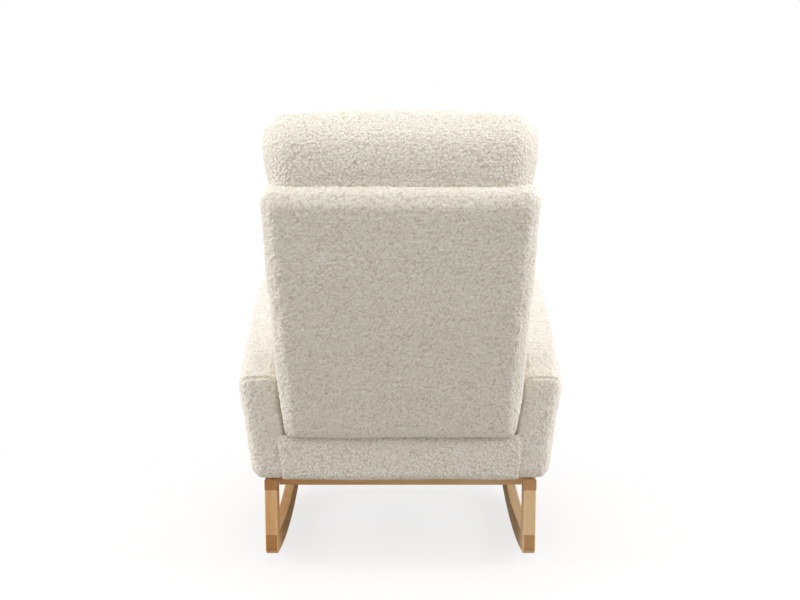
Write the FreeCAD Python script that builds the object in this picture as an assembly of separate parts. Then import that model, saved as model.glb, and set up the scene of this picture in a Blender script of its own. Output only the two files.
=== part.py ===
import FreeCAD, Part
import math
import os

from FreeCAD import Vector

# Nursing rocking chair: a padded armchair with a leaning back and a head cushion,
# carried by two closed wooden side frames whose lower members are curved rockers.
# Millimetres, +Z up, the sitter faces -Y and the sitter's left is +X.
# The origin is on the floor, midway between the rockers, where they touch it at rest.

# Wooden base
ROCKER_RADIUS = 1280.0
ROCKER_DEPTH = 42.0
REAR_REACH = 254.0
FRONT_REACH = 326.0
BASE_WIDTH = 576.0
FRAME_THICKNESS = 26.0
LEG_DEPTH = 50.0
SIDE_RAIL_HEIGHT = 24.0
CROSS_RAIL_HEIGHT = 28.0
CROSS_RAIL_DEPTH = 40.0
CROSS_RAIL_INSET = 50.0
STRETCHER_SETBACK = 70.0
STRETCHER_LIFT = 3.0
WOOD_EDGE_RADIUS = 3.0
ROCKER_TIP_RADIUS = 20.0

# Upholstered body
UNDERSIDE_HEIGHT = 191.0
ARM_OVERHANG = 12.0
ARM_LENGTH = 730.0
ARM_SIDE_OVERHANG = 21.5
ARM_THICKNESS = 82.5
ARM_REBATE = 15.0
ARM_FLARE = 0.137
ARM_REAR_RISE = 222.0
ARM_FRONT_RISE = 390.0
ARM_TOP_BULGE = 17.0
ARM_FRONT_RAKE = 26.0
ARM_EDGE_RADIUS = 19.0
ARM_PADDING = 18.0
ARM_PANEL_THICKNESS = 22.0
ARM_PANEL_INNER_PADDING = 18.0
ARM_PANEL_BORDER = 55.0
ARM_WINDOW_CORNER = 24.0
ARM_WINDOW_RISE = 88.0

# Seat box
SEAT_SLOPE = 5.0
SEAT_REAR_RISE = 78.0
SEAT_BOARD = 22.0
BAND_PADDING = 22.0
BAND_EDGE_RADIUS = 10.0
REAR_BAND_HEIGHT = 87.0
FRONT_BAND_SETBACK = 10.0
FRONT_BAND_RISE = 12.0
CORNER_BLOCK = 60.0
CORNER_BLOCK_HEIGHT = 45.0
STRAP_WIDTH = 56.0
STRAP_THICKNESS = 2.0
STRAP_LAP = 18.0
SEAT_LONG_STRAPS = 5
SEAT_CROSS_STRAPS = 4
DECK_PAD_THICKNESS = 14.0
DUST_COVER_THICKNESS = 1.5

# Loose seat cushion
CUSHION_SIDE_GAP = 3.0
CUSHION_BACK_GAP = 6.0
CUSHION_THICKNESS = 108.0
CUSHION_CROWN = 16.0
CUSHION_CORNER = 30.0
CUSHION_OVERHANG = 4.0
CUSHION_DRAW_IN = 6.0

# Backrest, measured along its own slope
BACK_LEAN = 16.0
BACK_OFFSET = 6.0
BACK_FOOT_GAP = 2.0
BACK_HEIGHT = 547.0
BACK_THICKNESS = 80.0
BACK_SIDE_GAP = 2.5
BACK_SHOULDER_SPREAD = 18.0
BACK_SHOULDER_HEIGHT = 160.0
BACK_TOP_SPREAD = 19.0
BACK_EDGE_RADIUS = 28.0
BACK_FOOT_RADIUS = 8.0
BACK_WALL = 15.0
STILE_WIDTH = 28.0
STILE_DEPTH = 60.0
BACK_SIDE_PADDING = 8.0
BACK_RAIL_HEIGHT = 45.0
BACK_RAIL_THICKNESS = 22.0
BACK_STRAPS = 5
BACK_CUSHION_THICKNESS = 62.0
BACK_CUSHION_SPREAD = 12.0
BACK_CUSHION_CROWN = 18.0
BACK_CUSHION_CORNER = 28.0
BACK_CUSHION_DRAW_IN = 5.6
BACK_CUSHION_START = 14.0

# Head cushion
HEAD_SIDE_INSET = 10.5
HEAD_HEIGHT = 120.0
HEAD_THICKNESS = 130.0
HEAD_SETBACK = 30.0
HEAD_CROWN = 8.0
HEAD_TOP_RISE = 4.0
HEAD_CORNER = 42.0
HEAD_ROLL = 84.0
HEAD_SINK = 18.0
HEAD_PANEL_THICKNESS = 15.0
HEAD_PANEL_SIDE_INSET = 75.0
HEAD_PANEL_RISE = 85.0
HEAD_PANEL_TAIL = 40.0
HEAD_SCREW_SHARES = (-0.84, -0.28, 0.28, 0.84)

# Fasteners and fits
DOWEL_RADIUS = 5.0
DOWEL_LENGTH = 36.0
DOWEL_SPACING = 24.0
RAIL_BOLT_RADIUS = 3.0
BOLT_RADIUS = 4.0
HEAD_RATIO = 1.7
HEAD_HEIGHT_RATIO = 1.2
WASHER_RATIO = 2.3
WASHER_THICKNESS = 1.6
BARREL_NUT_RADIUS = 6.0
BARREL_NUT_LENGTH = 18.0
CROSS_BOLT_DROP = 16.0
CROSS_BOLT_REACH = 36.0
BASE_BOLT_INSET = 120.0
BASE_BOLT_REACH = 47.0
BASE_NUT_RISE = 34.0
ARM_BOLT_RISE = 35.0
ARM_BOLT_SHARES = (0.2, 0.5, 0.78)
ARM_BOLT_REACH = 18.0
BACK_BOLT_DEPTH = 58.0
BACK_BOLT_RISES = (28.0, 68.0)
BACK_BOLT_REACH = 13.0
INSERT_RADIUS = 6.5
INSERT_LENGTH = 16.0
SCREW_RADIUS = 2.0
SCREW_REACH = 17.0
FIT = 0.1
SOFT_GAP = 0.3

# Places that follow from the sizes above
FLARE_LENGTH = math.hypot(1.0, ARM_FLARE)
INNER_FACE = BASE_WIDTH / 2 - FRAME_THICKNESS
FRAME_MIDDLE = BASE_WIDTH / 2 - FRAME_THICKNESS / 2
SIDE_RAIL_BOTTOM = UNDERSIDE_HEIGHT - SIDE_RAIL_HEIGHT
ARM_REAR_HEIGHT = UNDERSIDE_HEIGHT + ARM_REAR_RISE
ARM_FRONT_HEIGHT = UNDERSIDE_HEIGHT + ARM_FRONT_RISE
ARM_REAR = REAR_REACH + ARM_OVERHANG
ARM_FRONT = ARM_REAR - ARM_LENGTH
ARM_OUTER = BASE_WIDTH / 2 + ARM_SIDE_OVERHANG
ARM_INNER = ARM_OUTER - ARM_THICKNESS
SEAT_BOX_HALF = ARM_INNER + ARM_REBATE
ARM_PANEL_INNER = SEAT_BOX_HALF + ARM_PANEL_INNER_PADDING
ARM_PANEL_OUTER = ARM_PANEL_INNER + ARM_PANEL_THICKNESS
SEAT_REAR = ARM_REAR - BAND_PADDING
FRONT_BAND_FOOT = ARM_FRONT + ARM_FRONT_RAKE + FRONT_BAND_SETBACK
SEAT_FRONT = FRONT_BAND_FOOT + BAND_PADDING
SEAT_RISE = math.tan(math.radians(SEAT_SLOPE))
SEAT_REAR_HEIGHT = UNDERSIDE_HEIGHT + SEAT_REAR_RISE
BACK_FOOT_HEIGHT = UNDERSIDE_HEIGHT + REAR_BAND_HEIGHT + BACK_FOOT_GAP
BACK_WALL_DEPTH = BACK_HEIGHT - BACK_WALL
BACK_ORIGIN = Vector(0, ARM_REAR + BACK_OFFSET, BACK_FOOT_HEIGHT)
BACK_FOOT_HALF = ARM_INNER + ARM_FLARE * (BACK_FOOT_HEIGHT - UNDERSIDE_HEIGHT) - BACK_SIDE_GAP
BACK_SHOULDER_HALF = BACK_FOOT_HALF + BACK_SHOULDER_SPREAD
BACK_TOP_HALF = BACK_SHOULDER_HALF + BACK_TOP_SPREAD
BACK_FRAME_HALF = BACK_FOOT_HALF - BACK_SIDE_PADDING
BACK_FRAME_FRONT = BACK_THICKNESS - SOFT_GAP - STRAP_THICKNESS
HEAD_WIDTH = 2 * (BACK_TOP_HALF - HEAD_SIDE_INSET)
HEAD_PANEL_HALF = BACK_TOP_HALF - HEAD_PANEL_SIDE_INSET
HEAD_PANEL_REAR = BACK_FRAME_FRONT - HEAD_PANEL_THICKNESS
TALL = 4 * ARM_FRONT_HEIGHT
WIDE = 2 * BASE_WIDTH


# Basic solids

def block(x0, x1, y0, y1, z0, z1):
    return Part.makeBox(x1 - x0, y1 - y0, z1 - z0, Vector(x0, y0, z0))


def rod(start, direction, radius, length):
    return Part.makeCylinder(radius, length, start, direction)


def polygon(points):
    return Part.makePolygon([*points, points[0]])


def prism(wire, along):
    return Part.Face(wire).extrude(along)


def mirrored(shape):
    return shape.mirror(Vector(0, 0, 0), Vector(1, 0, 0))


def both_sides(shape):
    return [shape, mirrored(shape)]


def group(shapes):
    return Part.makeCompound(list(shapes))


def cut_all(shape, tools):
    return shape.cut(list(tools))


def round_edges(shape, radius, wanted):
    return shape.makeFillet(radius, [edge for edge in shape.Edges if wanted(edge)])


def runs_along(edge, axis):
    box = edge.BoundBox
    lengths = {"x": box.XLength, "y": box.YLength, "z": box.ZLength}
    return lengths[axis] > 0.9 * edge.Length


# The arms lean outwards, so what meets them is bounded by slanting planes.

def flared_slab(inner, outer):
    """All that lies between two planes that lean with the arm, which it measures at the underside."""
    low, high = -TALL, TALL
    lean_low, lean_high = (ARM_FLARE * (z - UNDERSIDE_HEIGHT) for z in (low, high))
    outline = polygon([
        Vector(inner + lean_low, -TALL, low),
        Vector(outer + lean_low, -TALL, low),
        Vector(outer + lean_high, -TALL, high),
        Vector(inner + lean_high, -TALL, high),
    ])
    return prism(outline, Vector(0, 2 * TALL, 0))


def seat_box_solid(wire, gap):
    """A side outline extruded across the seat box, with a gap at each arm's rebate."""
    inner = SEAT_BOX_HALF - gap
    lean = ARM_FLARE * (TALL - UNDERSIDE_HEIGHT)
    drop = ARM_FLARE * UNDERSIDE_HEIGHT
    room = polygon([
        Vector(drop - inner, -TALL, 0),
        Vector(inner - drop, -TALL, 0),
        Vector(inner + lean, -TALL, TALL),
        Vector(-inner - lean, -TALL, TALL),
    ])
    full = prism(wire, Vector(2 * WIDE, 0, 0))
    full.translate(Vector(-WIDE, 0, 0))
    return full.common(prism(room, Vector(0, 2 * TALL, 0)))


def arm_normal():
    """The outward direction square to the leaning faces of the left arm."""
    return Vector(1, 0, -ARM_FLARE) * (1 / FLARE_LENGTH)


# Wooden base

def rocker_height(y, radius):
    return ROCKER_RADIUS - math.sqrt(radius**2 - y**2)


def side_frame_piece(wire):
    piece = prism(wire, Vector(FRAME_THICKNESS, 0, 0))
    piece.translate(Vector(INNER_FACE, 0, 0))
    return piece


def dowel_places(leg_rear):
    middle = leg_rear - LEG_DEPTH / 2
    return [middle - DOWEL_SPACING / 2, middle + DOWEL_SPACING / 2]


def leg_rears():
    return {"rear": REAR_REACH, "front": LEG_DEPTH - FRONT_REACH}


def dowels(extra_radius=0.0, extra_length=0.0):
    """Two dowels at the foot and two at the head of each left leg."""
    length = DOWEL_LENGTH + 2 * extra_length
    top_radius = ROCKER_RADIUS - ROCKER_DEPTH
    made = []
    for leg_rear in leg_rears().values():
        joint_middle = rocker_height(leg_rear - LEG_DEPTH / 2, top_radius)
        for y in dowel_places(leg_rear):
            for z in (joint_middle, SIDE_RAIL_BOTTOM):
                start = Vector(FRAME_MIDDLE, y, z - length / 2)
                made.append(rod(start, Vector(0, 0, 1), DOWEL_RADIUS + extra_radius, length))
    return made


def left_rocker():
    top_radius = ROCKER_RADIUS - ROCKER_DEPTH
    lower = [Vector(0, y, rocker_height(y, ROCKER_RADIUS)) for y in (-FRONT_REACH, 0, REAR_REACH)]
    upper = [Vector(0, y, rocker_height(y, top_radius)) for y in (REAR_REACH, 0, -FRONT_REACH)]
    wire = Part.Wire([
        Part.Arc(*lower).toShape(),
        Part.LineSegment(lower[2], upper[0]).toShape(),
        Part.Arc(*upper).toShape(),
        Part.LineSegment(upper[2], lower[0]).toShape(),
    ])
    piece = side_frame_piece(wire)

    def is_lower_tip(edge):
        middle = edge.CenterOfMass
        at_end = min(abs(middle.y - REAR_REACH), abs(middle.y + FRONT_REACH)) < 1
        return runs_along(edge, "x") and at_end and middle.z < rocker_height(middle.y, top_radius) - 1

    piece = round_edges(piece, ROCKER_TIP_RADIUS, is_lower_tip)

    def is_long_edge(edge):
        return edge.Length > REAR_REACH

    piece = round_edges(piece, WOOD_EDGE_RADIUS, is_long_edge)
    return cut_all(piece, dowels(FIT, FIT) + [cross_bolt(cross_member_places()["front_stretcher"], FIT)])


def left_leg(leg_rear):
    """A leg whose foot is cut to the curve of the rocker's upper face."""
    outer = INNER_FACE + FRAME_THICKNESS
    full = block(INNER_FACE, outer, leg_rear - LEG_DEPTH, leg_rear, 0, SIDE_RAIL_BOTTOM)
    full = round_edges(full, WOOD_EDGE_RADIUS, lambda edge: runs_along(edge, "z"))
    bowl = rod(Vector(0, 0, ROCKER_RADIUS), Vector(1, 0, 0), ROCKER_RADIUS - ROCKER_DEPTH, BASE_WIDTH)
    return cut_all(full.common(bowl), dowels(FIT, FIT))


def cross_member_places():
    """The upper rear edge of each cross member: high between the rear legs, low between the rockers."""
    stretcher_rear = CROSS_RAIL_DEPTH + STRETCHER_SETBACK - FRONT_REACH
    stretcher_low = rocker_height(stretcher_rear - CROSS_RAIL_DEPTH, ROCKER_RADIUS) + STRETCHER_LIFT
    return {
        "rear_cross_rail": Vector(0, REAR_REACH - CROSS_RAIL_INSET, UNDERSIDE_HEIGHT),
        "front_stretcher": Vector(0, stretcher_rear, stretcher_low + CROSS_RAIL_HEIGHT),
    }


def cross_bolt(place, extra=0.0):
    """A socket bolt let into the left side frame from outside, reaching into the cross member's end."""
    outside = place + Vector(BASE_WIDTH / 2, -CROSS_RAIL_DEPTH / 2, -CROSS_BOLT_DROP)
    head = RAIL_BOLT_RADIUS * HEAD_RATIO
    depth = RAIL_BOLT_RADIUS * HEAD_HEIGHT_RATIO
    inwards = Vector(-1, 0, 0)
    reach = FRAME_THICKNESS + CROSS_BOLT_REACH
    shank = rod(outside + inwards * depth, inwards, RAIL_BOLT_RADIUS + extra, reach + extra)
    return shank.fuse(rod(outside, inwards, head + extra, depth + extra))


def cross_nut(place, extra=0.0):
    """The barrel nut that the bolt screws into, standing upright in the cross member."""
    foot = place + Vector(INNER_FACE - BARREL_NUT_LENGTH, -CROSS_RAIL_DEPTH / 2, -CROSS_RAIL_HEIGHT)
    nut = rod(foot, Vector(0, 0, 1), BARREL_NUT_RADIUS + extra, BARREL_NUT_LENGTH + extra)
    return nut if extra else nut.cut(cross_bolt(place, FIT))


def cross_member(place):
    rail = block(
        -INNER_FACE, INNER_FACE,
        place.y - CROSS_RAIL_DEPTH, place.y,
        place.z - CROSS_RAIL_HEIGHT, place.z,
    )

    def is_lower_long_edge(edge):
        return runs_along(edge, "x") and edge.CenterOfMass.z < place.z - 1

    rail = round_edges(rail, WOOD_EDGE_RADIUS, is_lower_long_edge)
    return cut_all(rail, both_sides(cross_bolt(place, FIT)) + both_sides(cross_nut(place, FIT)))


def base_bolt_places():
    return [
        Vector(FRAME_MIDDLE, y, SIDE_RAIL_BOTTOM)
        for y in (REAR_REACH - BASE_BOLT_INSET, BASE_BOLT_INSET - FRONT_REACH)
    ]


def base_bolt(place, extra=0.0):
    """A bolt let into the side rail from below that draws the arm panel down onto it."""
    up = Vector(0, 0, 1)
    depth = BOLT_RADIUS * HEAD_HEIGHT_RATIO
    length = SIDE_RAIL_HEIGHT + BASE_BOLT_REACH - depth
    shank = rod(place + up * depth, up, BOLT_RADIUS + extra, length + extra)
    return shank.fuse(rod(place, up, BOLT_RADIUS * HEAD_RATIO + extra, depth))


def base_washer(place, extra=0.0):
    up = Vector(0, 0, 1)
    seat = place + up * (BOLT_RADIUS * HEAD_HEIGHT_RATIO)
    disc = rod(seat, up, BOLT_RADIUS * WASHER_RATIO + extra, WASHER_THICKNESS)
    return disc if extra else disc.cut(base_bolt(place, FIT))


def base_recess(place):
    """The counterbore that takes the bolt's head and washer."""
    depth = BOLT_RADIUS * HEAD_HEIGHT_RATIO + WASHER_THICKNESS
    return rod(place, Vector(0, 0, 1), BOLT_RADIUS * WASHER_RATIO + FIT, depth)


def base_nut(place, extra=0.0):
    """A barrel nut across the arm panel, square to its leaning faces."""
    middle = (ARM_PANEL_INNER + ARM_PANEL_OUTER) / 2 + ARM_FLARE * BASE_NUT_RISE
    centre = Vector(middle, place.y, UNDERSIDE_HEIGHT + BASE_NUT_RISE)
    start = centre - arm_normal() * (BARREL_NUT_LENGTH / 2 + extra)
    nut = rod(start, arm_normal(), BARREL_NUT_RADIUS + extra, BARREL_NUT_LENGTH + 2 * extra)
    return nut if extra else nut.cut(base_bolt(place, FIT))


def left_side_rail():
    outer = INNER_FACE + FRAME_THICKNESS
    rail = block(INNER_FACE, outer, -FRONT_REACH, REAR_REACH, SIDE_RAIL_BOTTOM, UNDERSIDE_HEIGHT)
    rail = round_edges(rail, WOOD_EDGE_RADIUS, lambda edge: runs_along(edge, "y"))
    tools = dowels(FIT, FIT)
    tools += [cross_bolt(cross_member_places()["rear_cross_rail"], FIT)]
    tools += [base_bolt(place, FIT) for place in base_bolt_places()]
    tools += [base_recess(place) for place in base_bolt_places()]
    return cut_all(rail, tools)


# Arms

def arm_outline(inset, bottom):
    """The arm seen from its side, drawn in from the padded outline by an inset."""
    rear, front = ARM_REAR - inset, ARM_FRONT + inset
    middle_height = (ARM_REAR_HEIGHT + ARM_FRONT_HEIGHT) / 2 + ARM_TOP_BULGE - inset
    top_rear = Vector(0, rear, ARM_REAR_HEIGHT - inset)
    top_middle = Vector(0, (rear + front) / 2, middle_height)
    top_front = Vector(0, front, ARM_FRONT_HEIGHT - inset)
    low_front = Vector(0, front + ARM_FRONT_RAKE, bottom)
    low_rear = Vector(0, rear, bottom)
    return Part.Wire([
        Part.Arc(top_rear, top_middle, top_front).toShape(),
        Part.LineSegment(top_front, low_front).toShape(),
        Part.LineSegment(low_front, low_rear).toShape(),
        Part.LineSegment(low_rear, top_rear).toShape(),
    ])


def arm_solid(inset, inner, outer, bottom):
    return prism(arm_outline(inset, bottom), Vector(WIDE, 0, 0)).common(flared_slab(inner, outer))


def arm_window():
    """The opening that lightens the arm panel, with rounded corners."""
    inset = ARM_PADDING + ARM_PANEL_BORDER
    low = UNDERSIDE_HEIGHT + ARM_WINDOW_RISE
    opening = arm_solid(inset, ARM_PANEL_INNER - 1, ARM_PANEL_OUTER + 1, low)
    return round_edges(opening, ARM_WINDOW_CORNER, lambda edge: edge.Length < 1.2 * ARM_PANEL_THICKNESS)


def arm_bolt_places():
    """Where the seat box is bolted to the left arm, on the inner face of its side board."""
    height = UNDERSIDE_HEIGHT + ARM_BOLT_RISE
    inner = SEAT_BOX_HALF - SOFT_GAP - SEAT_BOARD + ARM_FLARE * ARM_BOLT_RISE
    span = SEAT_REAR - SEAT_FRONT
    return [Vector(inner, SEAT_FRONT + share * span, height) for share in ARM_BOLT_SHARES]


def arm_bolt_flush():
    """How far along an arm bolt the arm panel's inner face lies from its washer."""
    return (SEAT_BOARD + SOFT_GAP + ARM_PANEL_INNER_PADDING) / FLARE_LENGTH


def arm_bolt_length():
    return arm_bolt_flush() + ARM_BOLT_REACH


def bolt(place, direction, length, extra=0.0):
    """A bolt whose washer bears on the given place, with its head behind that."""
    head_height = BOLT_RADIUS * HEAD_HEIGHT_RATIO
    under_head = place - direction * WASHER_THICKNESS
    shank = rod(under_head, direction, BOLT_RADIUS + extra, WASHER_THICKNESS + length + extra)
    head_start = under_head - direction * head_height
    return shank.fuse(rod(head_start, direction, BOLT_RADIUS * HEAD_RATIO + extra, head_height))


def washer(place, direction):
    under_head = place - direction * WASHER_THICKNESS
    disc = rod(under_head, direction, BOLT_RADIUS * WASHER_RATIO, WASHER_THICKNESS)
    return disc.cut(rod(under_head - direction, direction, BOLT_RADIUS + FIT, WASHER_THICKNESS + 2))


def insert(start, direction, extra=0.0):
    """A threaded sleeve let into a board, which the bolt's end screws into."""
    sleeve = rod(start - direction * extra, direction, INSERT_RADIUS + extra, INSERT_LENGTH + 2 * extra)
    bore = rod(start - direction, direction, BOLT_RADIUS + FIT, INSERT_LENGTH + 2)
    return sleeve if extra else sleeve.cut(bore)


def arm_insert_start(place):
    return place + arm_normal() * (arm_bolt_flush() + 1)


def left_arm_panel():
    panel = arm_solid(ARM_PADDING, ARM_PANEL_INNER, ARM_PANEL_OUTER, UNDERSIDE_HEIGHT)
    panel = panel.cut(arm_window())
    tools = []
    for place in base_bolt_places():
        tools += [base_bolt(place, FIT), base_nut(place, FIT)]
    for place in arm_bolt_places():
        tools += [bolt(place, arm_normal(), arm_bolt_length(), FIT)]
        tools += [insert(arm_insert_start(place), arm_normal(), FIT)]
    for place in back_bolt_places():
        tools += [bolt(place, Vector(1, 0, 0), back_bolt_length(place), FIT)]
        tools += [insert(back_insert_start(place), Vector(1, 0, 0), FIT)]
    return cut_all(panel, tools)


def arm_rebate():
    """The room for the seat box, sunk into the inner side of each arm up to the tops of the bands."""
    front, rear = ARM_FRONT - 1, ARM_REAR + 1
    low = UNDERSIDE_HEIGHT - 1
    high_rear = rear_band_height() + SOFT_GAP
    high_front = front_band_height() + SOFT_GAP
    return seat_box_solid(polygon([
        Vector(0, front, low),
        Vector(0, rear, low),
        Vector(0, rear, high_rear),
        Vector(0, SEAT_REAR, high_rear),
        Vector(0, SEAT_FRONT, high_front),
        Vector(0, front, high_front),
    ]), 0)


def left_arm_cover():
    """The arm's padding and cloth, a sock that is open at the bottom over its panel."""
    cover = arm_solid(0, ARM_INNER, ARM_OUTER, UNDERSIDE_HEIGHT)
    cover = round_edges(cover, ARM_EDGE_RADIUS, lambda edge: True)
    inner, outer = ARM_PANEL_INNER - SOFT_GAP, ARM_PANEL_OUTER + SOFT_GAP
    pocket = arm_solid(ARM_PADDING - SOFT_GAP, inner, outer, UNDERSIDE_HEIGHT - 1)
    tools = [pocket, arm_rebate()]
    tools += [bolt(place, arm_normal(), arm_bolt_length(), FIT) for place in arm_bolt_places()]
    tools += [bolt(place, Vector(1, 0, 0), back_bolt_length(place), FIT) for place in back_bolt_places()]
    return cut_all(cover, tools)


# Seat box

def deck_height(y):
    """The sloping line along the tops of the seat boards."""
    return SEAT_REAR_HEIGHT + (SEAT_REAR - y) * SEAT_RISE


def seat_board(y0, y1):
    """A board of the seat box from y0 to y1, its top cut to the seat's slope."""
    return polygon([
        Vector(0, y0, UNDERSIDE_HEIGHT),
        Vector(0, y1, UNDERSIDE_HEIGHT),
        Vector(0, y1, deck_height(y1)),
        Vector(0, y0, deck_height(y0)),
    ])


def seat_front_rail():
    return seat_box_solid(seat_board(SEAT_FRONT, SEAT_FRONT + SEAT_BOARD), SOFT_GAP)


def seat_rear_rail():
    return seat_box_solid(seat_board(SEAT_REAR - SEAT_BOARD, SEAT_REAR), SOFT_GAP)


def left_seat_rail():
    outer = SEAT_BOX_HALF - SOFT_GAP
    full = prism(seat_board(SEAT_FRONT + SEAT_BOARD, SEAT_REAR - SEAT_BOARD), Vector(WIDE, 0, 0))
    rail = full.common(flared_slab(outer - SEAT_BOARD, outer))
    return cut_all(rail, [bolt(place, arm_normal(), arm_bolt_length(), FIT) for place in arm_bolt_places()])


def seat_corner_blocks():
    """Three-cornered blocks that brace the corners of the seat box."""
    inner = SEAT_BOX_HALF - SOFT_GAP - SEAT_BOARD
    low = UNDERSIDE_HEIGHT + DUST_COVER_THICKNESS
    made = []
    for y, inwards in ((SEAT_FRONT + SEAT_BOARD, 1), (SEAT_REAR - SEAT_BOARD, -1)):
        outline = polygon([
            Vector(inner, y, low),
            Vector(inner - CORNER_BLOCK, y, low),
            Vector(inner, y + inwards * CORNER_BLOCK, low),
        ])
        made += both_sides(prism(outline, Vector(0, 0, CORNER_BLOCK_HEIGHT)))
    return group(made)


def on_deck(shape, rise):
    """Tilts a shape onto the sloping seat, drawn level with its rear end at y 0 and its foot at z 0."""
    shape.rotate(Vector(0, 0, 0), Vector(1, 0, 0), -SEAT_SLOPE)
    shape.translate(Vector(0, SEAT_REAR, SEAT_REAR_HEIGHT))
    lift = Vector(0, math.sin(math.radians(SEAT_SLOPE)), math.cos(math.radians(SEAT_SLOPE))) * rise
    shape.translate(lift)
    return shape


def deck_length():
    return (SEAT_REAR - SEAT_FRONT) / math.cos(math.radians(SEAT_SLOPE))


def seat_webbing_long():
    """Elastic straps from the front board to the rear one."""
    pitch = 2 * (SEAT_BOX_HALF - SEAT_BOARD) / SEAT_LONG_STRAPS
    made = []
    for index in range(SEAT_LONG_STRAPS):
        middle = (index - (SEAT_LONG_STRAPS - 1) / 2) * pitch
        strap = block(
            middle - STRAP_WIDTH / 2, middle + STRAP_WIDTH / 2, -deck_length() + 1, -1, 0, STRAP_THICKNESS
        )
        made.append(on_deck(strap, 0))
    return group(made)


def seat_webbing_cross():
    """Elastic straps from side to side, lying on the long ones."""
    reach = SEAT_BOX_HALF - SEAT_BOARD + STRAP_LAP
    pitch = deck_length() / (SEAT_CROSS_STRAPS + 1)
    made = []
    for index in range(SEAT_CROSS_STRAPS):
        middle = -(index + 1) * pitch
        strap = block(-reach, reach, middle - STRAP_WIDTH / 2, middle + STRAP_WIDTH / 2, 0, STRAP_THICKNESS)
        made.append(on_deck(strap, STRAP_THICKNESS))
    return group(made)


def deck_pad_rear():
    """How far in front of the seat box's rear end the deck pad stops, clear of the backrest."""
    return BACK_THICKNESS + SEAT_BOARD


def seat_deck_pad():
    half = ARM_INNER + ARM_FLARE * SEAT_REAR_RISE - SOFT_GAP
    pad = block(-half, half, -deck_length() + 1, -deck_pad_rear(), 0, DECK_PAD_THICKNESS)
    return on_deck(pad, 2 * STRAP_THICKNESS)


def rear_band_height():
    return UNDERSIDE_HEIGHT + REAR_BAND_HEIGHT


def seat_rear_band():
    """The padded cloth band below the backrest."""
    low, high = UNDERSIDE_HEIGHT, rear_band_height()
    outline = polygon([
        Vector(0, SEAT_REAR, low),
        Vector(0, ARM_REAR, low),
        Vector(0, ARM_REAR, high),
        Vector(0, SEAT_REAR, high),
    ])
    band = seat_box_solid(outline, SOFT_GAP)

    def shows(edge):
        return runs_along(edge, "x") and edge.CenterOfMass.y > ARM_REAR - 1

    return round_edges(band, BAND_EDGE_RADIUS, shows)


def front_band_height():
    return deck_height(SEAT_FRONT) + FRONT_BAND_RISE


def front_band_head():
    """How far forward the upper edge of the front band lies."""
    rise = (front_band_height() - UNDERSIDE_HEIGHT) / (ARM_FRONT_HEIGHT - UNDERSIDE_HEIGHT)
    return FRONT_BAND_FOOT - ARM_FRONT_RAKE * rise


def seat_front_band():
    """The padded cloth band below the seat cushion, raked like the fronts of the arms."""
    low, high = UNDERSIDE_HEIGHT, front_band_height()
    outline = polygon([
        Vector(0, FRONT_BAND_FOOT, low),
        Vector(0, SEAT_FRONT, low),
        Vector(0, SEAT_FRONT, high),
        Vector(0, front_band_head(), high),
    ])
    band = seat_box_solid(outline, SOFT_GAP)

    def shows(edge):
        return runs_along(edge, "x") and edge.CenterOfMass.y < FRONT_BAND_FOOT + 1

    return round_edges(band, BAND_EDGE_RADIUS, shows)


def dust_cover():
    """The thin cloth that closes the seat box underneath."""
    half = SEAT_BOX_HALF - 2 * SOFT_GAP - SEAT_BOARD
    return block(
        -half, half,
        SEAT_FRONT + SEAT_BOARD, SEAT_REAR - SEAT_BOARD,
        UNDERSIDE_HEIGHT, UNDERSIDE_HEIGHT + DUST_COVER_THICKNESS,
    )


# Cushions

def cushion_section(x, y0, y1, z0, z1, crown):
    """A cushion's cross-section: flat below, upright at both ends and crowned on top."""
    low_front, low_rear = Vector(x, y0, z0), Vector(x, y1, z0)
    high_front, high_rear = Vector(x, y0, z1), Vector(x, y1, z1)
    top_middle = Vector(x, (y0 + y1) / 2, z1 + crown)
    return Part.Wire([
        Part.LineSegment(low_front, low_rear).toShape(),
        Part.LineSegment(low_rear, high_rear).toShape(),
        Part.Arc(high_rear, top_middle, high_front).toShape(),
        Part.LineSegment(high_front, low_front).toShape(),
    ])


def cushion(width, y0, y1, z0, z1, corner, crown, draw_in, roll=0):
    """A stuffed cushion: crowned both ways, its long sides drawn in or swollen, its edges rounded.

    A roll rounds the lower edge of its y1 side more than the others.
    """
    sections = []
    for share in (-1, 0, 1):
        swell = 1 - share**2
        sections.append(cushion_section(
            share * width / 2,
            y0 + draw_in * swell,
            y1 - draw_in * swell,
            z0,
            z1 + crown * swell / 3,
            crown * (1 + swell) / 3,
        ))
    shape = Part.makeLoft(sections, True, False)

    def is_rolled(edge):
        middle = edge.CenterOfMass
        return abs(middle.x) < 1 and middle.y > (y0 + y1) / 2 and middle.z < z0 + 1

    def is_sharp(edge):
        middle = edge.CenterOfMass
        return abs(middle.x) > 1 or middle.y < y0 + corner / 2 or middle.z > z1 - 1

    if roll:
        shape = round_edges(shape, roll, is_rolled)
    return round_edges(shape, corner, is_sharp)


def seat_cushion():
    """The loose cushion, lying on the deck between the arms."""
    back_front = leaned_point(0, back_cushion_front(), BACK_CUSHION_START).y
    front, rear = (
        (y - SEAT_REAR) / math.cos(math.radians(SEAT_SLOPE))
        for y in (front_band_head() - CUSHION_OVERHANG, back_front - CUSHION_BACK_GAP)
    )
    width = 2 * (ARM_INNER + ARM_FLARE * SEAT_REAR_RISE - CUSHION_SIDE_GAP)
    high = CUSHION_THICKNESS
    shape = cushion(width, front, rear, 0, high, CUSHION_CORNER, CUSHION_CROWN, CUSHION_DRAW_IN)
    return on_deck(shape, 2 * STRAP_THICKNESS + DECK_PAD_THICKNESS + SOFT_GAP)


# Backrest. It is drawn upright with its rear face at y 0 and its lower end at z 0, then leaned back.

def leaned(shape):
    shape.rotate(Vector(0, 0, 0), Vector(1, 0, 0), -BACK_LEAN)
    shape.translate(BACK_ORIGIN)
    return shape


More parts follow.
